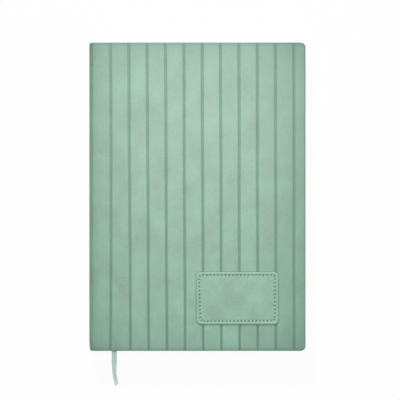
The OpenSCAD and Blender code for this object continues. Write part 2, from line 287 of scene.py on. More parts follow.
def carry_round_spine(s, y, depth):
    """Point of the cover from the run s over its outer face, the place y along the spine and the depth
    below the outer face. Right of the bend s is X itself. In the bend the angle is the run divided by
    the bend radius, and beyond it the run goes straight down the spine."""
    angle = np.clip((X_BEND - s) / BEND_R, 0, math.pi / 2)
    down = np.maximum(S_PARTING - s, 0)
    radius = BEND_R - depth
    x = np.where(s >= X_BEND, s, X_BEND - radius * np.sin(angle))
    z = np.where(s >= X_BEND, TOP - depth, TOP - BEND_R + radius * np.cos(angle) - down)
    return np.stack([x, y, z], -1)


# %% [markdown]
# Eleven grooves are pressed into the front with a warm tool. Towards the tail those near the spine drift
# a little to the right. They could be drawn with a bump alone, but a groove wider than a pencil line
# shades its own floor and shows at the ends of the cover, so it is in the mesh.

# %% The grooves
GROOVE_N = 11
GROOVE_FIRST = X_SPINE + 14.42 * MM
GROOVE_PITCH = 12.52 * MM
GROOVE_W = 1.58 * MM
GROOVE_D = 0.22 * MM
DRIFT = 1.32 * MM
WANDER = 0.06 * MM
FIRST_BOW = 0.45 * MM


def share_below_head(y):
    """0 at the head of the cover and 1 at its tail."""
    return (HALF_H - y) / (2 * HALF_H)


def groove_centres(y):
    """Place of each groove along X at each y: its place at the head, plus a drift towards the tail that
    is largest at the second groove and fades to none at the last, plus a slow sine wander. The first
    groove bows to the right by half a sine wave."""
    k = np.arange(GROOVE_N)
    share = np.where(k == 0, 0.1, 1 - (k - 1) / (GROOVE_N - 2))
    below = share_below_head(y)[..., None]
    wander = WANDER * np.sin(below * 9 + k * 1.7) + FIRST_BOW * (k == 0) * np.sin(below * math.pi)
    return GROOVE_FIRST + k * GROOVE_PITCH + DRIFT * share * below + wander


def groove_depth(x, y):
    """Depth of the pressed grooves: D * exp(-(u / w)^3) at the distance u from the nearest centre line,
    where w is half the groove's width, so that the shoulders run softly into a narrow floor."""
    u = np.abs(x[..., None] - groove_centres(y)).min(-1)
    return GROOVE_D * np.exp(-((u / (GROOVE_W / 2)) ** 3))


# %% [markdown]
# The sheet is a grid of rows along the spine and columns across it. Even columns fine enough for a groove
# would make 300,000 faces, so the columns stand close together only where the sheet bends: at the
# hinge, round the spine, on the shoulders of each groove and at the fore-edge corners.

# %% The grid of the sheet
def sheet_columns(grooved):
    """Runs s of the grid's columns: from the middle of the spine, close together where the cover
    opens, round the bend, over the face with extra columns at each groove, and round the corner."""
    spine = np.linspace(S_MIDDLE, S_PARTING - 1.8 * MM, 4)
    fold = np.linspace(S_PARTING - 1.6 * MM, S_PARTING + 1.6 * MM, 17)
    bend = np.linspace(S_PARTING + 1.9 * MM, X_BEND, 12)
    corner_x = X_FORE - CORNER_R
    corner = corner_x + (CORNER_R - ROLL_R) * np.sin(np.linspace(0, math.pi / 2, 9))
    face = [np.arange(X_BEND + 1.5 * MM, corner_x - 0.7 * MM, 3.1 * MM)]
    if grooved:
        steps = np.array([0.25, 0.55, 0.75, 0.85, 0.95, 1.04, 1.13, 1.25, 1.5, 2.1])
        steps = np.concatenate([-steps[::-1], steps])
        face = [GROOVE_FIRST + k * GROOVE_PITCH + (steps * MM) for k in range(GROOVE_N)]
        middles = GROOVE_FIRST + (np.arange(GROOVE_N - 1)[:, None] + 0.5) * GROOVE_PITCH
        face += [(middles + np.array([-2.6, 0, 2.6]) * MM).ravel()]
        face += [np.array([X_BEND + 3 * MM, X_BEND + 6 * MM, X_FORE - 4.7 * MM])]
    return np.sort(np.concatenate([spine, fold, bend, corner] + face))


def follow_drift(s, y, grooved):
    """Shifts the columns near each groove with its drift, so that they stay on its shoulders."""
    if not grooved:
        return s
    straight = GROOVE_FIRST + np.arange(GROOVE_N) * GROOVE_PITCH
    shift = groove_centres(y) - straight
    knots = np.concatenate([[X_BEND + 2 * MM], straight, [X_FORE - CORNER_R]])
    inside = np.concatenate([np.zeros_like(shift[..., :1]), shift, np.zeros_like(shift[..., :1])], -1)
    place = np.clip(np.searchsorted(knots, s, side="right") - 1, 0, len(knots) - 2)
    t = np.clip((s - knots[place]) / (knots[place + 1] - knots[place]), 0, 1)
    low = np.take_along_axis(inside, place[..., None], -1)[..., 0]
    high = np.take_along_axis(inside, place[..., None] + 1, -1)[..., 0]
    return s + low + (high - low) * t


def half_height(s):
    """Half the height of the flat face at the run s: full up to the corner, and then down its arc."""
    reach = np.clip(s - (X_FORE - CORNER_R), 0, CORNER_R - ROLL_R)
    return HALF_H - CORNER_R + np.sqrt((CORNER_R - ROLL_R) ** 2 - reach**2)


# %% [markdown]
# A turned-in edge is what tells a cloth-covered book from a printed card. The leather is glued to the
# card, pared thin and folded in by 12 mm at the head, the tail and the fore-edge. A Solidify modifier
# could give the thickness but not the fold, so rings carry the sheet round the edge and back.

# %% The sheet with its rolled edge
ROLL_STEPS = 9
FOLD_SHARES = np.array([0.04, 0.3, 0.65, 1.0])
WINDOW_R = 1.5 * MM
SLIDE_FROM = X_BEND + 8 * MM


def groove_tone_and_shade(s, y):
    """How dark the grooves are, from the groove's share g of its full depth and the share
    b below the head: (0.45 + 0.97 b) g + 0.45 (1 - b)^2 g^4. Part is the tool's own darkening and part
    painted shade in the groove; the painted shade grows towards the tail, and the g^4 term darkens the
    groove floors near the head."""
    share = groove_depth(s, y) / GROOVE_D
    below = share_below_head(y)
    # Painted shade in the grooves, deeper towards the tail, on top of the tool's own darkening.
    return (0.45 + 0.97 * below) * share + 0.45 * (1 - below) ** 2 * share**4


def edge_shade_tone(points, inset):
    """How much painted shade darkens the leather, at most 1: at the spine's bend by 0.38 * exp(-(d / 3.6
    mm)^1.2), at every edge and at both ends by exp(-d / reach), at the very head by exp(-(d / 0.7 mm)^2),
    and with the distance from the middle to the power 2.5, more so on the fore-edge half."""
    from_spine = np.maximum(points[:, 0] - X_SPINE, 0)
    from_end = np.maximum(HALF_H - np.abs(points[:, 1]), 0)
    from_head = np.maximum(HALF_H - points[:, 1], 0)
    # Painted shade: darker at the spine's bend, along the edges, towards both ends, at the very head and
    # towards both sides.
    edge_shade = 0.38 * np.exp(-((from_spine / (3.6 * MM)) ** 1.2))
    edge_shade += 0.2 * np.exp(-np.maximum(inset, 0) / (1.6 * MM))
    side_shade = np.where(points[:, 0] > 0, 0.55, 0.36)
    edge_shade += side_shade * np.clip(np.abs(points[:, 0]) / X_FORE, 0, 1) ** 2.5
    edge_shade += 0.37 * np.exp(-from_end / (10 * MM))
    edge_shade += 0.2 * np.exp(-((from_head / (0.7 * MM)) ** 2))
    return np.minimum(edge_shade, 1)


def leather_half(grooved):
    """Closed skin of one half of the wrap. The face is a grid; the rim is a stack of rings that starts
    at the face's edge, rolls over half a circle of radius r, runs in under the card, turns back at
    the pared edge and returns inside the leather. The inner face closes it."""
    columns = sheet_columns(grooved)
    rows = np.linspace(-1, 1, 106)
    s, v = np.meshgrid(columns, rows, indexing="ij")
    y = v * half_height(s)
    s = follow_drift(s, y, grooved)
    n, m = s.shape
    outer = np.arange(n * m).reshape(n, m)
    loop = np.concatenate([outer[:, 0], outer[-1, 1:], outer[-2::-1, -1]])
    loop_s, loop_y = s.ravel()[loop], y.ravel()[loop]

    corner_x, reach_r = X_FORE - CORNER_R, CORNER_R - ROLL_R
    turn = np.clip((loop_s - corner_x) / reach_r, 0, 1)
    along_fore = np.zeros(len(loop), bool)
    along_fore[n - 1 : n - 1 + m] = True
    side = np.sign(loop_y)
    out_s = np.where(along_fore, 1.0, turn)
    out_y = np.where(along_fore, 0.0, side * np.sqrt(1 - turn**2))

    straight_x, straight_y = X_FORE - TURN_IN - WINDOW_R, HALF_H - TURN_IN - WINDOW_R
    slide = np.clip((loop_s - SLIDE_FROM) / (corner_x - SLIDE_FROM), 0, 1)
    win_s = loop_s + slide * (straight_x - corner_x)
    win_y = side * (straight_y + WINDOW_R)
    in_corner = (loop_s > corner_x) & ~along_fore
    win_s = np.where(in_corner, straight_x + WINDOW_R * turn, win_s)
    win_y = np.where(in_corner, side * (straight_y + WINDOW_R * np.sqrt(1 - turn**2)), win_y)
    win_s = np.where(along_fore, straight_x + WINDOW_R, win_s)
    win_y = np.where(along_fore, loop_y * straight_y / (HALF_H - CORNER_R), win_y)

    flat = np.zeros(len(loop))
    groove = groove_depth(loop_s, loop_y) if grooved else flat
    rim = []
    for phi in np.linspace(math.pi / 2, -math.pi / 2, ROLL_STEPS + 1)[1:]:
        reach, drop = ROLL_R * math.cos(phi), ROLL_R * (1 - math.sin(phi))
        drop = drop + groove * max(math.sin(phi), 0)
        rim.append((loop_s + out_s * reach, loop_y + out_y * reach, drop))
    for depth, shares in ((SHELL_T, FOLD_SHARES), (SHELL_T - TURN_T, FOLD_SHARES[::-1])):
        for share in shares:
            folded_s, folded_y = loop_s + (win_s - loop_s) * share, loop_y + (win_y - loop_y) * share
            rim.append((folded_s, folded_y, flat + depth))
    inner_r = ROLL_R - LEATHER_T
    for phi in np.linspace(-math.pi / 2, math.pi / 2, 4)[:-1]:
        reach, drop = inner_r * math.cos(phi), ROLL_R - inner_r * math.sin(phi)
        rim.append((loop_s + out_s * reach, loop_y + out_y * reach, flat + drop))

    inner = outer + n * m
    rim_index = 2 * n * m + np.arange(len(rim) * len(loop)).reshape(len(rim), len(loop))
    rim_index = np.concatenate([loop[None], rim_index, (loop + n * m)[None]])
    depth = groove_depth(s, y) if grooved else np.zeros_like(s)
    all_s = np.concatenate([s.ravel(), s.ravel()] + [r[0] for r in rim])
    all_y = np.concatenate([y.ravel(), y.ravel()] + [r[1] for r in rim])
    all_d = np.concatenate([depth.ravel(), np.full(n * m, LEATHER_T)] + [r[2] for r in rim])

    points = carry_round_spine(all_s, all_y, all_d)
    cut = np.concatenate([rim_index[::-1, 0], outer[0, 1:-1], rim_index[:, -1], inner[0, -2:0:-1]])
    faces = np.concatenate([quads(outer), quads(rim_index), quads(inner.T)])
    pressed = groove_tone_and_shade(all_s, all_y) if grooved else np.zeros(len(all_s))
    inset = np.minimum(HALF_H - np.abs(all_y), X_FORE - all_s)
    return points, faces, cut, pressed, edge_shade_tone(points, inset)


# %% [markdown]
# The back is the front's mirror image without the grooves. One function makes both, so that they meet
# exactly in the middle of the spine. Their cut faces lie against each other there, and their edges are
# marked sharp, so that the light runs over the join as over one skin.

# %% Both halves of the wrap, meeting in the middle of the spine
DRAWN_IN_AT_TAIL, DRAWN_IN_AT_HEAD = 0.4 * MM, 0.02 * MM


def settle_spine_ends(points):
    """The folds at head and tail draw the spine in by a fraction of a millimetre over the last seven."""
    near_end = smoothstep(HALF_H - 7 * MM, HALF_H, np.abs(points[:, 1]))
    near_spine = 1 - smoothstep(X_SPINE, X_SPINE + 9 * MM, points[:, 0])
    amount = np.where(points[:, 1] < 0, DRAWN_IN_AT_TAIL, DRAWN_IN_AT_HEAD)
    points[:, 0] += amount * near_end * near_spine
    return points


def keep_corner_sharp(piece, loop):
    """Marks the edges round a cut face as sharp, so that the outside is shaded as if it ran on."""
    ends = np.empty(len(piece.data.edges) * 2, np.int32)
    piece.data.edges.foreach_get("vertices", ends)
    on_cut = np.isin(ends.reshape(-1, 2), loop).all(1)
    sharp = piece.data.attributes.new("sharp_edge", "BOOLEAN", "EDGE")
    sharp.data.foreach_set("value", on_cut)


def store(piece, name, values):
    """Keeps one number per point on the mesh under a name, for a material to read."""
    layer = piece.data.attributes.new(name, "FLOAT", "POINT")
    layer.data.foreach_set("value", values.astype(np.float32))


def make_half(name, grooved):
    """One half of the wrap as an object; the back half is the front's mirror image through the middle."""
    points, faces, cut, pressed, edge = leather_half(grooved)
    points = settle_spine_ends(points)
    if not grooved:
        points[:, 2] = 2 * MID - points[:, 2]
    piece = make_piece(name, points, faces, [cut])
    keep_corner_sharp(piece, cut)
    # pressed holds the grooves' darkening with its painted shade, near_edge the painted edge shade.
    store(piece, "pressed", pressed)
    store(piece, "near_edge", edge)
    return piece


front_wrap = make_half("cover_wrap_front", True)
back_wrap = make_half("cover_wrap_back", False)
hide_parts("front_cover_leather", "spine_leather")
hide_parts("back_cover_leather", "spine_leather")

# %% [markdown]
# When a cover opens, the leather at its hinge line bends while the spine stays. Here each half's place
# is baked into its points, and the height of its hinge line is worked out and printed.

# %% The hinge line of each half
FOLD_ZONE = 1.5 * MM
for half, cover, side in ((front_wrap, "front_cover", 1), (back_wrap, "back_cover", -1)):
    line = MID + side * (TOP - BEND_R - MID)
    fold_start = (X_SPINE, 0, line - side * FOLD_ZONE)
    fold_end = (X_SPINE, 0, line + side * FOLD_ZONE)
    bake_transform(half)
    print("%s bends at z %.1f mm" % (half.name, line / MM))

# %% [markdown]
# ## The sewn patch
#
# A small piece of the same leather is sewn near the lower fore-edge corner. Its skin is a stack of rings:
# up the side, over the rounded rim, across the seam and in to the middle. Along the seam it is drawn down
# into a shallow trough, with a dent at every needle hole and a soft swell between the holes.

# %% Places of the needle holes
PATCH_MID = (patch_low[:2] + patch_high[:2]) / 2
PATCH_HALF = (patch_high[:2] - patch_low[:2]) / 2
PATCH_R = 3 * MM
SEAM_INSET = 2 * MM
PITCH = 2.6 * MM
SEAM_HALF = PATCH_HALF - SEAM_INSET
seam_counts = np.round(2 * SEAM_HALF / PITCH).astype(int)


def seam_side(start, end, count, shift=0.0):
    """Evenly spaced places from start to end, the end left out, and the direction of each."""
    share = (np.arange(count) + shift)[:, None] / count
    way = (end - start) / np.linalg.norm(end - start)
    return start + share * (end - start), np.repeat(way[None], count, 0)


def sewn_askew(places):
    """The seam was guided by hand: its spine-side run leans by a millimetre, its tail run climbs by
    0.4 mm, and the other two lie 0.26 mm inwards. At the corners it cuts across, by 0.6 mm each way at
    the corner itself and by |u v|^24 of that beside it."""
    u, v = ((places - PATCH_MID) / SEAM_HALF).T
    to_right = 0.12 - 0.48 * v * (1 - u) / 2 - 0.38 * (1 + u) / 2
    upwards = -0.26 * (1 + v) / 2 + (0.05 + 0.2 * u) * (1 - v) / 2
    across = 0.6 * np.abs(u * v) ** 24
    return places + np.stack([to_right - across * np.sign(u), upwards - across * np.sign(v)], -1) * MM


def seam_places(shift=0.0):
    """Places round the seam: 0 for the needle holes, 0.5 for the stitches halfway between them."""
    a, b = SEAM_HALF
    turns = np.array([[-a, -b], [a, -b], [a, b], [-a, b], [-a, -b]]) + PATCH_MID
    sides = [seam_side(turns[k], turns[k + 1], seam_counts[k % 2], shift) for k in range(4)]
    places, ways = (np.concatenate([s[i] for s in sides]) for i in (0, 1))
    return sewn_askew(places), ways


holes, _ = seam_places()
print("patch %.1f x %.1f mm with %d needle holes" % (*(2 * PATCH_HALF / MM), len(holes)))

# %% The patch's rings
PATCH_T = patch_high[2] - TOP
RIM_R = 0.35 * MM


def rounded_ring(inset):
    """Closed ring at a distance inside the patch's outline: straight sides and quarter-round corners,
    with its points spread by the same shares of each side and each corner on every ring."""
    corner = max(PATCH_R - inset, 0.35 * MM)
    half = np.maximum(PATCH_HALF - inset - corner, 1e-5)
    arc = 24
    long_n, short_n = 190, 106
    turn = np.linspace(0, math.pi / 2, arc, endpoint=False)
    bends = np.stack([np.cos(turn), np.sin(turn)], -1) * corner
    up = np.linspace(-1, 1, short_n, endpoint=False)
    across = np.linspace(-1, 1, long_n, endpoint=False)
    right = np.stack([np.full(short_n, half[0] + corner), up * half[1]], -1)
    top_right = np.array([half[0], half[1]]) + bends
    top = np.stack([-across * half[0], np.full(long_n, half[1] + corner)], -1)
    top_left = np.array([-half[0], half[1]]) + np.stack([-np.sin(turn), np.cos(turn)], -1) * corner
    half_turn = np.concatenate([right, top_right, top, top_left])
    return np.concatenate([half_turn, -half_turn]) + PATCH_MID


def patch_top(points, inset):
    """Height over the cover: the thickness, less the rim's rounding, the seam's trough and the needle
    dents D * exp(-(r / R)^4), plus a puff outside the seam between the holes. Just inside the seam the
    field sinks a little, and rises again towards the middle."""
    rim = np.sqrt(np.clip(1 - (1 - np.clip(inset / RIM_R, 0, 1)) ** 2, 0, 1))
    away = np.linalg.norm(points[:, None] - holes[None], axis=-1).min(-1)
    trough = 0.12 * MM * np.exp(-(((inset - SEAM_INSET) / (0.7 * MM)) ** 2))
    dent = 0.5 * MM * np.exp(-((away / (0.48 * MM)) ** 4))
    between = np.clip(away / (PITCH / 2), 0, 1)
    puff = 0.05 * MM * between * np.exp(-(((inset - 1.1 * MM) / (0.5 * MM)) ** 2))
    sink = 0.05 * MM * (1 - smoothstep(3 * MM, 9 * MM, inset)) * smoothstep(2 * MM, 3 * MM, inset)
    return PATCH_T - RIM_R * (1 - rim) - trough - dent + puff - sink - 0.03 * MM


rim_insets = RIM_R * (1 - np.cos(np.linspace(0, math.pi / 2, 6)))
seam_insets = np.array([0.75, 1.0, 1.2, 1.4, 1.55, 1.7, 1.85, 2.0, 2.15, 2.3, 2.45, 2.6, 2.8, 3.1, 3.6])
field_insets = np.array([4.5, 6, 8, 10.5, 13.5, 16.2])
insets = np.concatenate([rim_insets, seam_insets * MM, field_insets * MM])
first_ring = rounded_ring(0)
rings = [np.column_stack([first_ring, np.full(len(first_ring), TOP)])]
for inset in insets:
    ring = rounded_ring(inset)
    rings.append(np.column_stack([ring, TOP + patch_top(ring, inset)]))
patch_points = np.concatenate(rings)
print(len(rings[0]), "points on each of", len(rings), "rings")

# %% The patch as one closed skin
ring_n = len(rings[0])
patch_index = closed(np.arange(len(rings) * ring_n).reshape(len(rings), ring_n))
patch_caps = [patch_index[-1, -2::-1], patch_index[0, :-1]]
patch = make_piece("patch_skin", patch_points, quads(patch_index), patch_caps)
ring_inset = np.repeat(np.concatenate([[0], insets]), ring_n)
EDGE_BAND, HOLE_R = 0.55 * MM, 0.5 * MM
# Painted highlight: a lighter tone along the patch's rim.
store(patch, "near_edge", np.exp(-ring_inset / EDGE_BAND))
# Painted shade: a near-black green in and round each needle hole.
from_hole = np.linalg.norm(patch_points[:, None, :2] - holes[None], axis=-1).min(-1)
store(patch, "pressed", np.exp(-((from_hole / HOLE_R) ** 4)))
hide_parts("label_patch")
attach(patch, "front_cover")

# %% [markdown]
# ## The thread
#
# Each stitch is a short arch of two-ply thread that dives into the needle holes at its ends. It could be
# one long cord, but only the visible part of each stitch shows, and 64 small closed arches stay light.

# %% One stitch, laid at every place
STITCH_R, STITCH_REACH, STITCH_DIP = 0.25 * MM, 0.95 * MM, 0.42 * MM
TWIST = 3.4


def stitch_arch(n_along=13, n_round=10):
    """Arch: at t from -1 to 1 the middle line runs reach * t along the seam and drops by dip * |t|^5.
    Round it, the radius is r * (0.84 + 0.16 * |cos(a - twist * t)|), which gives the two twisted plies,
    and less towards the ends, where the thread is pulled tight."""
    round_steps = np.linspace(0, 2 * math.pi, n_round, endpoint=False)
    t, a = np.meshgrid(np.linspace(-1, 1, n_along), round_steps, indexing="ij")
    radius = STITCH_R * (0.84 + 0.16 * np.abs(np.cos(a - TWIST * t))) * (1 - 0.35 * np.abs(t) ** 6)
    along = STITCH_REACH * t
    drop = STITCH_DIP * np.abs(t) ** 5
    return np.stack([along, radius * np.cos(a), radius * np.sin(a) * 0.85 - drop], -1)


arch = stitch_arch()
places, ways = seam_places(0.5)
rng = np.random.default_rng(11)
sway = rng.normal(0, 0.03, len(places))
ways = np.stack([ways[:, 0] - ways[:, 1] * sway, ways[:, 1] + ways[:, 0] * sway], -1)
sides = np.stack([-ways[:, 1], ways[:, 0]], -1)
flat_arch = arch.reshape(-1, 3)
forwards, sideways = flat_arch[None, :, :1], flat_arch[None, :, 1:2]
stitch_xy = places[:, None] + forwards * ways[:, None] + sideways * sides[:, None]
SUNK = 0.14 * MM
stitch_z = np.broadcast_to(TOP + PATCH_T - SUNK + flat_arch[:, 2], stitch_xy.shape[:2])
stitch_points = np.concatenate([stitch_xy, stitch_z[..., None]], -1).reshape(-1, 3)
arch_index = closed(np.arange(arch.shape[0] * arch.shape[1]).reshape(arch.shape[:2]))
starts = np.arange(len(places)) * arch_index[:, :-1].size
stitch_faces = (quads(arch_index)[None] + starts[:, None, None]).reshape(-1, 4)
stitch_caps = [cap + start for start in starts for cap in (arch_index[0, -2::-1], arch_index[-1, :-1])]
thread = make_piece("patch_stitches", stitch_points, stitch_faces[:, ::-1], stitch_caps)
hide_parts("label_thread")
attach(thread, "front_cover")

# %% [markdown]
# ## The leaves
#
# One hundred leaves lie flush at the spine, where they are glued, and end a few hundredths of a
# millimetre apart at the other edges, which is what a trimmed book block shows up close. They could be a
# hundred thin boxes. A single stack of rings, two for each leaf and one for the gap under it, looks the
# same and is one solid. The ribbon lies in a shallow bed between an upper and a lower stack.

# %% The outline of a leaf
PAGE_R, PAGE_SPINE_R = 3 * MM, 1.2 * MM
LEAVES = 100
LEAF_T = (leaf_high[2] - leaf_low[2]) / LEAVES
PAGE_H = leaf_high[1]
page_x = np.concatenate([
    leaf_low[0] + PAGE_SPINE_R * (1 - np.cos(np.linspace(0, math.pi / 2, 5))),
    np.arange(-69.2, -52, 1.05) * MM,
    np.linspace(-50 * MM, leaf_high[0] - PAGE_R, 14),
    leaf_high[0] - PAGE_R + PAGE_R * np.sin(np.linspace(0, math.pi / 2, 8))[1:],
])
page_v = np.sin(np.linspace(-1, 1, 38) * math.pi / 2 * 0.8) / math.sin(math.pi / 2 * 0.8)


def page_half_height(x):
    """Half the height of a leaf at x, with a quarter circle at each corner."""
    left = np.clip(leaf_low[0] + PAGE_SPINE_R - x, 0, PAGE_SPINE_R)
    right = np.clip(x - (leaf_high[0] - PAGE_R), 0, PAGE_R)
    drop_left = PAGE_SPINE_R - np.sqrt(PAGE_SPINE_R**2 - left**2)
    drop_right = PAGE_R - np.sqrt(PAGE_R**2 - right**2)
    return PAGE_H - drop_left - drop_right


# %% The bed of the ribbon
inner_line = np.array([entry[0] for entry in RIBBON_ROUTE[10:18]]) * MM


def ribbon_bed(x, y):
    """How far the leaves part, above and below, for the ribbon: half its thickness plus a little where
    it lies, and less and less until about 4 mm beside it."""
    middle = np.interp(-y, -inner_line[:, 1], inner_line[:, 0])
    across = np.abs(x - middle)
    return 0.17 * MM * (1 - smoothstep(1.9 * MM, 5.5 * MM, across)) + 0.004 * MM


def leaf_stack(low_z, high_z, count, seed):
    """A closed stack of leaves: a grid below, rings at the edges of the leaves, and a grid on top. The
    points near the ribbon's bed give way to it, and less so with every leaf further from it."""
    x, v = np.meshgrid(page_x, page_v, indexing="ij")
    y = v * page_half_height(x)
    n, m = x.shape
    grid = np.arange(n * m).reshape(n, m)
    loop = np.concatenate([grid[:, 0], grid[-1, 1:], grid[-2::-1, -1], grid[0, -2:0:-1]])
    lx, ly = x.ravel()[loop], y.ravel()[loop]
    out_x = np.clip((lx - (leaf_high[0] - PAGE_R)) / PAGE_R, 0, 1)
    out_y = np.clip((np.abs(ly) - (PAGE_H - PAGE_R)) / PAGE_R, 0, 1) * np.sign(ly)
    glued = smoothstep(leaf_low[0] + 0.2 * MM, leaf_low[0] + 2.5 * MM, lx)
    rng = np.random.default_rng(seed)
    heights, shifts = [], []
    for k in range(count):
        trim = np.clip(rng.normal(0, 0.05), -0.11, 0.11) * MM
        wave = 0.03 * MM * np.sin(lx / (23 * MM) + ly / (31 * MM) + rng.uniform(0, 6))
        base = low_z + k * LEAF_T
        if k:
            heights.append(base)
            shifts.append(-0.16 * MM + 0 * lx)
        heights += [base + 0.14 * LEAF_T, base + 0.86 * LEAF_T]
        shifts += [trim + wave - 0.06 * MM, trim + wave - 0.06 * MM]
    z = np.array(heights)[:, None]
    shift = np.array(shifts) * glued
    ring_x, ring_y = lx + shift * out_x, ly + shift * out_y
    ring_z = np.broadcast_to(z, ring_x.shape)
    grids_z = (np.full(n * m, low_z), np.full(n * m, high_z))
    all_x = np.concatenate([x.ravel(), x.ravel(), ring_x.ravel()])
    all_y = np.concatenate([y.ravel(), y.ravel(), ring_y.ravel()])
    all_z = np.concatenate([*grids_z, ring_z.ravel()])
    beside = np.sign((low_z + high_z) / 2 - MID)
    lift = ribbon_bed(all_x, all_y) * np.exp(-np.abs(all_z - MID) / (1.3 * MM))
    points = np.stack([all_x, all_y, all_z + beside * lift], -1)
    ring_index = 2 * n * m + np.arange(ring_x.size).reshape(ring_x.shape)
    walls = closed(np.concatenate([loop[None], ring_index, (loop + n * m)[None]]))
    return points, np.concatenate([quads(grid)[:, ::-1], quads(grid + n * m), quads(walls)[:, ::-1]])


lower_n = int(round((MID - leaf_low[2]) / LEAF_T))
lower = leaf_stack(leaf_low[2], MID, lower_n, 3)
upper = leaf_stack(MID, leaf_high[2], LEAVES - lower_n, 4)
page_points = np.concatenate([lower[0], upper[0]])
page_faces = np.concatenate([lower[1], upper[1] + len(lower[0])])
pages = make_piece("leaves", page_points, page_faces, smooth=False)
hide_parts("page_block")
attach(pages, "book_block")

# %% [markdown]
# ## Writing a material as arithmetic
#
# A procedural material is arithmetic on numbers that vary over a surface. Its nodes could be placed one
# by one. The small class below lets it be written as sums instead: +, - and * on a value add Blender's
# Math nodes, and one method adds any other node.

# %% A small language for materials
class Value:
    """A number, colour or vector that varies over the surface: the output socket of a node."""

    def __init__(self, finish, socket):
        self.finish, self.socket = finish, socket

    def __add__(self, other):
        return self.finish.math("ADD", self, other)

    def __sub__(self, other):
        return self.finish.math("SUBTRACT", self, other)

    def __rsub__(self, other):
        return self.finish.math("SUBTRACT", other, self)

    def __mul__(self, other):
        return self.finish.math("MULTIPLY", self, other)

    __radd__, __rmul__ = __add__, __mul__


class Finish:
    """A material under construction, or the world's shading."""

    def __init__(self, name, world=None):
        self.material = world or bpy.data.materials.new(name)
        self.material.use_nodes = True
        self.tree = self.material.node_tree
        self.tree.nodes.clear()

    def add(self, kind, settings=None, values=None, out=0):
        """Adds a node: first its settings, then a value or a link for each named input."""
        node = self.tree.nodes.new("ShaderNode" + kind)
        for key, setting in (settings or {}).items():
            setattr(node, key, setting)
        for key, value in (values or {}).items():
            if isinstance(value, Value):
                self.tree.links.new(value.socket, node.inputs[key])
            else:
                node.inputs[key].default_value = value
        return Value(self, node.outputs[out])

    def math(self, operation, a, b=0.0, clamp=False):
        """Arithmetic on two numbers, held between 0 and 1 if asked."""
        return self.add("Math", {"operation": operation, "use_clamp": clamp}, {0: a, 1: b})

    def vector(self, operation, a, b=(0, 0, 0)):
        """Arithmetic on two vectors."""
        return self.add("VectorMath", {"operation": operation}, {0: a, 1: b})

    def clamp(self, value):
        """Holds a number between 0 and 1."""
        return self.math("ADD", value, 0.0, clamp=True)

    def place(self, scale=(1, 1, 1)):
        """Place on the object in metres, stretched by a scale for each direction."""
        return self.vector("MULTIPLY", self.add("TexCoord", {}, {}, "Object"), scale)

    def noise(self, size, detail=3.0, rough=0.5, where=None, seed=0.0):
        """Smooth noise from 0 to 1 whose blotches are about size metres wide."""
        where = where or self.place()
        spot = self.vector("ADD", where, (seed, seed * 0.7, seed * 1.3))
        values = {"Vector": spot, "Scale": 1 / size, "Detail": detail, "Roughness": rough}
        return self.add("TexNoise", {"noise_dimensions": "3D"}, values)

    def spread(self, value, low, high):
        """Stretches a value so that low becomes 0 and high becomes 1, held between them."""
        limits = {"Value": value, "From Min": low, "From Max": high}
        return self.add("MapRange", {"interpolation_type": "SMOOTHSTEP"}, limits)

    def blend(self, factor, a, b, mode="MIX"):
        """Mixes two colours by a factor."""
        return self.add("Mix", {"data_type": "RGBA", "blend_type": mode}, {0: factor, 6: a, 7: b}, 2)

    def stored(self, name):
        """A number kept on the mesh."""
        return self.add("Attribute", {"attribute_name": name}, {}, "Fac")

    def bump(self, height, distance, strength=1.0):
        """Normals of a surface raised by height times distance metres."""
        return self.add("Bump", {}, {"Strength": strength, "Distance": distance, "Height": height})

    def surface(self, colour, roughness, normal=None, **constants):
        """Ends the material in a Principled shader."""
        values = {"Base Color": colour, "Roughness": roughness}
        if normal is not None:
            values["Normal"] = normal
        values.update({key.replace("_", " "): value for key, value in constants.items()})
        shader = self.add("BsdfPrincipled", {}, values)
        self.add_output(shader)
        return self.material

    def add_output(self, shader, kind="Material"):
        """Joins a shader to the end of the tree."""
        end = self.tree.nodes.new("ShaderNodeOutput" + kind)
        self.tree.links.new(shader.socket, end.inputs["Surface"])


def tone(red, green, blue):
    """A colour given as it looks on screen, 0 to 255, turned into the linear values that nodes take:
    c / 12.92 below 0.04045, and ((c + 0.055) / 1.055)^2.4 above."""
    c = np.array([red, green, blue]) / 255
    linear = np.where(c <= 0.04045, c / 12.92, ((c + 0.055) / 1.055) ** 2.4)
    return (*(float(v) for v in linear), 1.0)


def dress(thing, material):
    """Gives an object its one material."""
    thing.data.materials.clear()
    thing.data.materials.append(material)


# %% [markdown]
# ## The leather
#
# The cover is a matte leather-like cloth in a grey green. Its lightness changes in clouds one to two
# centimetres wide, it darkens where the hot tool pressed the grooves, with painted shade added in them,
# and painted shade darkens it at the spine, along the edges and towards both sides. It has a fine pebbled
# grain. A picture of leather would repeat and blur up close. Noise in three sizes, with the grooves and
# the painted edge shade stored on the mesh, holds at every distance.

# %% The leather's colour and grain
def round_patch(f, reach):
    """1 at the patch's outline and 0 from reach metres outside it. The distance to a rounded rectangle is
    the length of (|p - middle| - half size + r), with nothing below 0, less its corner radius r."""
    here = f.vector("SUBTRACT", f.place(), (*PATCH_MID, 0))
    here = f.vector("SUBTRACT", f.vector("ABSOLUTE", here), (*(PATCH_HALF - PATCH_R), TOP))
    here = f.vector("MAXIMUM", here, (0, 0, 0))
    distance = f.add("VectorMath", {"operation": "LENGTH"}, {0: here}, "Value") - PATCH_R
    return 1 - f.spread(distance, 0.0, reach)


WARM, COOL = (142, 178, 159), (138, 177, 158)


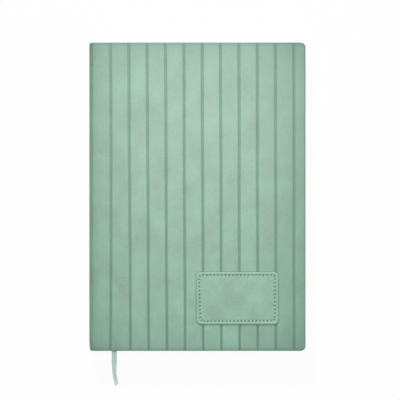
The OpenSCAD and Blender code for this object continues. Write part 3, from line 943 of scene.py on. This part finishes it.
def leather(name, deep, painted_edge_tone, shade_round_patch=False):
    """Leather: warm and cool tones mixed by slow noise, a deep tone in the grooves, partly the tool's
    darkening and partly painted shade, and in the needle holes as painted shade, a painted edge tone that
    is shade on the cover and a highlight on the patch's rim, fine speckle, and a pebble bump. When asked,
    painted shade darkens the cover all round the patch."""
    f = Finish(name)
    long_way = f.place((1, 0.7, 1))
    blotch = f.noise(15 * MM, 2.0, 0.5, where=long_way, seed=2.1)
    cloud = f.noise(8 * MM, 4.0, 0.6, where=long_way, seed=7.7)
    speckle = f.noise(1.2 * MM, 3.0, 0.7, seed=4.0)
    mixed = f.spread(blotch * 0.6 + cloud * 0.4, 0.33, 0.67)
    base = f.blend(mixed, tone(*WARM), tone(*COOL))
    lightness = (blotch - 0.5) * 0.5 + (cloud - 0.5) * 0.46 + (speckle - 0.5) * 0.42 + 1.0
    grey = f.add("CombineColor", {}, {0: lightness, 1: lightness, 2: lightness})
    base = f.blend(1.0, base, grey, "MULTIPLY")
    # Grooves and needle holes take the deep tone, partly painted shade.
    pressed = f.clamp(f.stored("pressed") * 0.72)
    edge = f.clamp(f.stored("near_edge") * 0.85)
    base = f.blend(pressed, base, tone(*deep))
    # Painted edge tone: shade on the cover, a highlight on the patch's rim.
    base = f.blend(edge, base, tone(*painted_edge_tone))
    # Painted shade: the cover is darkened all round the patch's outline, where the patch shades it.
    if shade_round_patch:
        base = f.blend(round_patch(f, 1.1 * MM) * 0.68, base, tone(*deep))
    pebble_size = {"Vector": f.place(), "Scale": 1 / (0.55 * MM), "Smoothness": 0.6}
    pebbles = f.add("TexVoronoi", {"feature": "SMOOTH_F1"}, pebble_size)
    height = pebbles * 0.6 + f.noise(0.25 * MM, 2.0) * 0.4 + cloud * 1.2
    rough = 0.39 + (cloud - 0.5) * 0.14
    return f.surface(base, rough, f.bump(height, 0.05 * MM, 0.5), Specular_IOR_Level=0.5)


# The cover's dark edge tone is painted shade; the patch's light edge tone is a painted highlight on its
# rim, and its deep tone is painted shade in the needle holes.
cover_leather = leather("cover_leather", (91, 131, 112), (91, 131, 111), shade_round_patch=True)
patch_leather = leather("patch_leather", (24, 54, 42), (163, 197, 178))
dress(front_wrap, cover_leather)
dress(back_wrap, cover_leather)
dress(patch, patch_leather)

# %% [markdown]
# The thread is spun and dyed to match, and looks a shade lighter than the leather because its fibres
# catch the light. Its two plies are in the mesh already, so fine noise is enough for the fibres.

# %% The thread
def thread_finish():
    """Spun thread: the leather's green made lighter, with fine fibres across it."""
    f = Finish("thread")
    fibre = f.noise(0.12 * MM, 3.0)
    colour = f.blend(f.spread(fibre, 0.3, 0.7), tone(160, 192, 175), tone(182, 212, 195))
    return f.surface(colour, 0.75 + (fibre - 0.5) * 0.2, f.bump(fibre, 0.03 * MM, 0.6))


dress(thread, thread_finish())

# %% [markdown]
# ## Paper, board and cloth
#
# The leaves are cream paper. On their cut edges each leaf is a hair's breadth lighter or darker than the
# next. The endpapers are a smooth white stock, the boards a grey card, and the spine lining a thin cloth.
# One flat colour each would do at a distance. Fibres, flecks and threads at their real size cost little
# more and hold up when the covers are open.

# %% Paper, board and lining
def leaf_paper():
    """Cream paper: slow tint, fine fibre, and a faint line for each leaf from noise squeezed along Z."""
    f = Finish("leaf_paper")
    fibre = f.noise(0.8 * MM, 4.0, 0.6)
    leaf_line = f.noise(0.16 * MM, 1.0, where=f.place((0.02, 0.02, 1)))
    tint = f.spread(fibre * 0.4 + leaf_line * 0.6, 0.3, 0.7)
    colour = f.blend(tint, tone(236, 229, 213), tone(248, 244, 232))
    return f.surface(colour, 0.82 + (fibre - 0.5) * 0.1, f.bump(fibre, 0.02 * MM, 0.5))


def endpaper():
    """Smooth off-white stock with a soft fibre pattern."""
    f = Finish("endpaper")
    fibre = f.noise(1.6 * MM, 5.0, 0.65)
    cloud = f.noise(18 * MM, 2.0)
    mixed = f.spread(fibre * 0.5 + cloud * 0.5, 0.35, 0.65)
    colour = f.blend(mixed, tone(240, 236, 224), tone(246, 243, 232))
    return f.surface(colour, 0.78 + (fibre - 0.5) * 0.12, f.bump(fibre, 0.02 * MM, 0.6))


def cover_card():
    """Grey pulp board with long and short flecks."""
    f = Finish("cover_card")
    fleck = f.noise(0.9 * MM, 5.0, 0.7)
    streak = f.noise(2.5 * MM, 3.0, where=f.place((1, 0.2, 1)))
    mixed = f.spread(fleck * 0.6 + streak * 0.4, 0.35, 0.65)
    colour = f.blend(mixed, tone(150, 142, 128), tone(183, 176, 162))
    return f.surface(colour, 0.88 + (fleck - 0.5) * 0.1, f.bump(fleck, 0.05 * MM, 0.8))


def spine_lining():
    """Open cotton weave glued down the spine: crossed sine threads with uneven thickness."""
    f = Finish("spine_lining")
    threads = {"Vector": f.place(), "Scale": 1 / (3.2 * MM), "Distortion": 0.6}
    weft, warp = (f.add("TexWave", {"bands_direction": way}, threads) for way in "YZ")
    weave = weft * 0.5 + warp * 0.5
    colour = f.blend(weave, tone(196, 190, 176), tone(232, 228, 216))
    return f.surface(colour, 0.9 - weave * 0.08, f.bump(weave, 0.08 * MM, 0.7))


dress(pages, leaf_paper())
paper, card = endpaper(), cover_card()
for node in ("front_pastedown", "back_pastedown", "front_flyleaf", "back_flyleaf"):
    dress(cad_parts[node], paper)
for node in ("front_card", "back_card", "spine_card"):
    dress(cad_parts[node], card)
dress(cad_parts["spine_lining"], spine_lining())
print("materials so far:", len(bpy.data.materials))

# %% [markdown]
# ## The ribbon's weave
#
# The ribbon is woven from shiny viscose. Its own map runs across and along it in metres, so the fine
# crosswise ribs and the lengthwise warp follow it round every fold.

# %% The ribbon's finish
RIB_PITCH, WARP_PITCH = 0.32 * MM, 0.26 * MM


def ribbon_satin():
    """Sine ribs across the ribbon and sine warp threads along it, a darker selvedge on both sides, and
    the uneven tone of worn fibres. Both tones are paler than the ribbon's own sage: painted sheen of the
    satin."""
    f = Finish("ribbon_satin")
    run = f.add("UVMap", {"uv_map": "weave"})
    across = f.add("SeparateXYZ", {}, {0: run})
    along = Value(f, across.socket.node.outputs[1])
    ribs = f.math("SINE", along * (2 * math.pi / RIB_PITCH))
    warp = f.math("SINE", across * (2 * math.pi / WARP_PITCH))
    selvedge = f.spread(f.math("ABSOLUTE", across), 1.35 * MM, 1.6 * MM)
    weave = ribs * 0.25 + warp * 0.2 + 0.5
    fray = f.noise(0.4 * MM, 3.0)
    mixed = f.clamp(weave * 0.6 + fray * 0.5 - selvedge * 0.15)
    # Painted sheen: both tones are paler than the ribbon's own colour.
    colour = f.blend(mixed, tone(201, 236, 229), tone(221, 247, 242))
    rough = 0.42 + (weave - 0.5) * 0.2
    return f.surface(colour, rough, f.bump(weave, 0.04 * MM, 0.6), Specular_IOR_Level=0.5)


dress(ribbon, ribbon_satin())

# %% [markdown]
# ## Floor and light
#
# The notebook lies on a plain white surface. A floor that is simply lit turns grey wherever the light is
# even enough for the leather, so most of its white is its own glow, which only the camera and
# reflections see. The rest is lit as usual and carries the shadow.

# %% Floor
FLOOR_REACH, FLOOR_DROP = 40.0, 0.02 * MM
WHITE_SHARE = 0.93


def make_floor():
    """A large square under the book, slightly below its lowest point."""
    x, y = np.meshgrid([-FLOOR_REACH, FLOOR_REACH], [-FLOOR_REACH, FLOOR_REACH], indexing="ij")
    points = np.stack([x, y, np.full_like(x, -FLOOR_DROP)], -1).reshape(-1, 3)
    return make_piece("floor", points, quads(np.arange(4).reshape(2, 2)), smooth=False)


def seen_directly(f):
    """1 for the rays that show the background (from the camera, off gloss or through glass), else 0."""
    camera_ray = f.add("LightPath", {}, {}, "Is Camera Ray")
    rays = camera_ray.socket.node.outputs
    return f.clamp(camera_ray + Value(f, rays["Is Glossy Ray"]) + Value(f, rays["Is Transmission Ray"]))


def floor_finish(white_share):
    """White to the rays that show it, for a share of its light; the rest is lit, and so keeps the shadow
    of the notebook."""
    f = Finish("floor")
    lit = f.add("BsdfDiffuse", {}, {"Color": tone(250, 250, 250)})
    white = f.add("Emission", {}, {"Color": (1, 1, 1, 1), "Strength": 1.0})
    f.add_output(f.add("MixShader", {}, {0: seen_directly(f) * white_share, 1: lit, 2: white}))
    return f.material


floor = make_floor()
dress(floor, floor_finish(WHITE_SHARE))

# %% [markdown]
# Three soft lamps light the notebook. The key lamp hangs above the head, where the leather mirrors it as
# a broad pale sheen over the upper half. The rake lamp stands far behind the head and throws the short
# shadow below the patch. A weak side lamp lights the turned face of the ribbon. One large lamp could
# light all of it evenly, but then neither the sheen nor the shadow would show. The world gives a low
# even fill, and is white only where it is seen.

# %% Lamps and world
FILL = 0.19


def soft_lamp(name, place, target, size, power):
    """A round area lamp at a place, turned towards a target."""
    data = bpy.data.lights.new(name, "AREA")
    data.shape, data.size, data.energy = "DISK", size, power
    lamp = bpy.data.objects.new(name, data)
    lamp.location = place
    lamp.rotation_euler = (Vector(target) - Vector(place)).to_track_quat("-Z", "Y").to_euler()
    bpy.context.scene.collection.objects.link(lamp)


soft_lamp("key_lamp", (0.0, 0.165, 1.20), (0, 0.02, 0), 0.30, 5.15)
soft_lamp("rake_lamp", (-0.42, 1.70, 0.97), (0, 0, 0), 0.36, 26.0)
soft_lamp("side_lamp", (0.80, -0.50, 0.50), (0, -0.05, 0), 0.40, 1.5)

studio = bpy.data.worlds.new("studio")
bpy.context.scene.world = studio
sky = Finish("studio", studio)
strength = seen_directly(sky) * (1 - FILL) + FILL
sky.add_output(sky.add("Background", {}, {"Color": (1, 1, 1, 1), "Strength": strength}), "World")
print("3 lamps, fill %.2f" % FILL)
